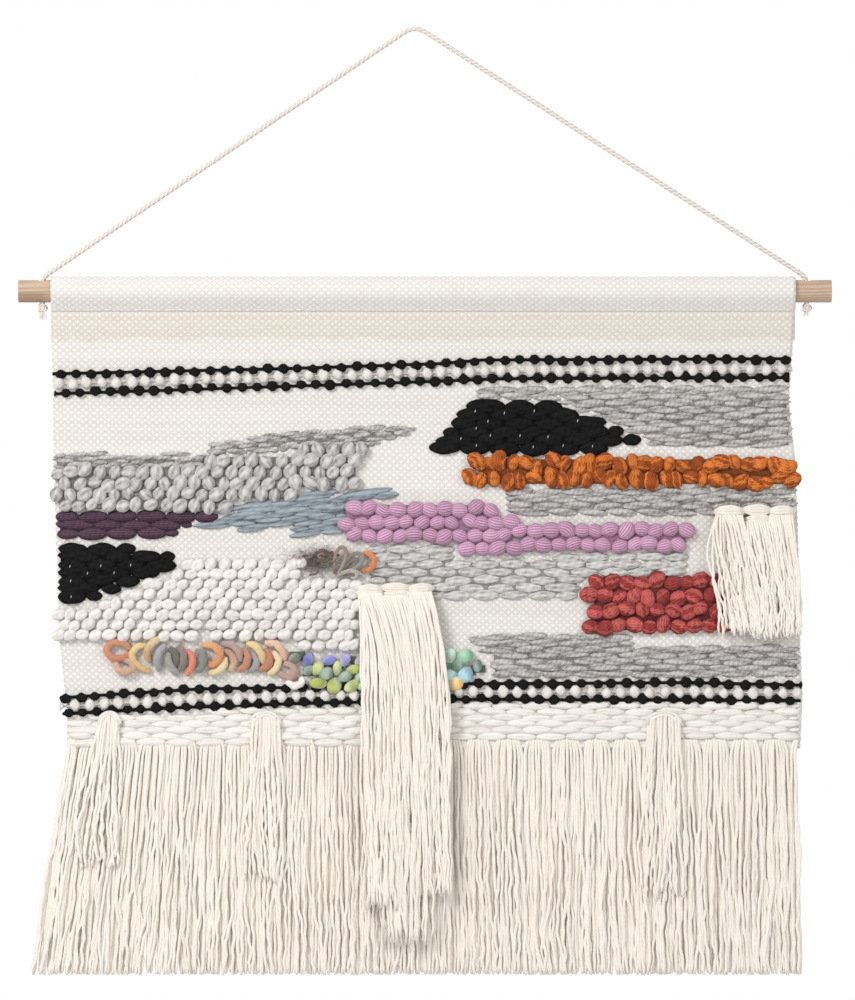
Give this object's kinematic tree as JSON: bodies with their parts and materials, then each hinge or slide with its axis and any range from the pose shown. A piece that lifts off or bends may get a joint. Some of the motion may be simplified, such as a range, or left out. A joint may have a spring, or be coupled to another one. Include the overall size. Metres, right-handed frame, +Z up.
{
  "type": "tapestry wall hanging",
  "caption": "Hand-woven wall hanging on a wooden dowel with a cotton hanging cord, striped borders, raised yarn shapes, hanging tassels and a long warp fringe.",
  "frame": {"origin": "top of the nail that the hanging cord rests on, on the inside of the cord's peak", "axes": "+Z up, +X to the right as seen from the front, +Y towards the wall, so the front faces -Y"},
  "size_m": [0.65, 0.0279, 0.7591],
  "materials": {
    "dowel_wood": "sanded bare softwood, matt",
    "cord_cotton": "twisted white cotton cord",
    "cloth_cotton": "undyed plain-woven cotton",
    "cream_cotton": "cream plied cotton yarn",
    "black_wool": "black roving",
    "white_wool": "white roving",
    "grey_wool": "heather grey yarn",
    "silver_wool": "light grey roving",
    "plum_wool": "plum yarn",
    "blue_wool": "blue-grey yarn",
    "pink_wool": "orchid pink plied yarn",
    "rust_wool": "rust plied yarn",
    "red_wool": "brick red plied yarn",
    "sunset_wool": "felted yarn in yellow, orange and grey",
    "brown_wool": "brown and olive brushed yarn",
    "moss_wool": "felted yarn in moss, lime and violet blue",
    "aqua_wool": "felted yarn in aqua and light blue"
  },
  "bodies": {
    "hanger": {"dowel": "dowel_wood", "hanging_cord": "cord_cotton", "cord_knot_left": "cord_cotton", "cord_knot_right": "cord_cotton"},
    "panel": {"ground_cloth": "cloth_cotton", "rod_sleeve": "cloth_cotton", "sleeve_stitches": "cord_cotton", "upper_stripe_black_top": "black_wool", "upper_stripe_white": "white_wool", "upper_stripe_black_bottom": "black_wool", "lower_stripe_black_top": "black_wool", "lower_stripe_white": "white_wool", "lower_stripe_black_bottom": "black_wool", "thin_grey_soumak": "grey_wool", "grey_loops": "silver_wool", "plum_floats": "plum_wool", "blue_soumak": "blue_wool", "black_roving": "black_wool", "white_loops": "white_wool", "sunset_loops": "sunset_wool", "brown_curls": "brown_wool", "moss_nubs_left": "moss_wool", "moss_nubs_right": "aqua_wool", "pink_loops": "pink_wool", "rust_loops": "rust_wool", "black_mountain": "black_wool", "grey_soumak_top": "grey_wool", "grey_soumak_middle": "grey_wool", "grey_soumak_light": "silver_wool", "grey_soumak_low": "grey_wool", "red_loops": "red_wool", "right_tassel_wraps": "cream_cotton", "centre_tassel_wraps": "cream_cotton", "braid_band": "cream_cotton", "band_tassel_heads": "cream_cotton"},
    "fringe": {"warp_fringe": "cream_cotton", "band_tassel_left": "cream_cotton", "band_tassel_middle": "cream_cotton", "band_tassel_right": "cream_cotton"},
    "centre_tassel": {"centre_tuft_left": "cream_cotton", "centre_tuft_middle": "cream_cotton", "centre_tuft_right": "cream_cotton"},
    "right_tassel": {"right_tuft_left": "cream_cotton", "right_tuft_middle": "cream_cotton", "right_tuft_right": "cream_cotton"}
  },
  "joints": [
    {"name": "panel_swing", "type": "hinge", "parent": "hanger", "child": "panel", "pos_m": [0.008, 0, -0.208], "axis": [-1, 0, 0], "range_deg": [0, 75]},
    {"name": "fringe_swing", "type": "hinge", "parent": "panel", "child": "fringe", "pos_m": [0.014, 0, -0.575], "axis": [-1, 0, 0], "range_deg": [0, 60]},
    {"name": "centre_tassel_swing", "type": "hinge", "parent": "panel", "child": "centre_tassel", "pos_m": [-0.016, -0.0126, -0.455], "axis": [-1, 0, 0], "range_deg": [0, 40]},
    {"name": "right_tassel_swing", "type": "hinge", "parent": "panel", "child": "right_tassel", "pos_m": [0.271, -0.0126, -0.393], "axis": [-1, 0, 0], "range_deg": [0, 75]}
  ],
  "couplings": [
    {"joint": "centre_tassel_swing", "follows": "fringe_swing", "ratio": 0.65}
  ]
}
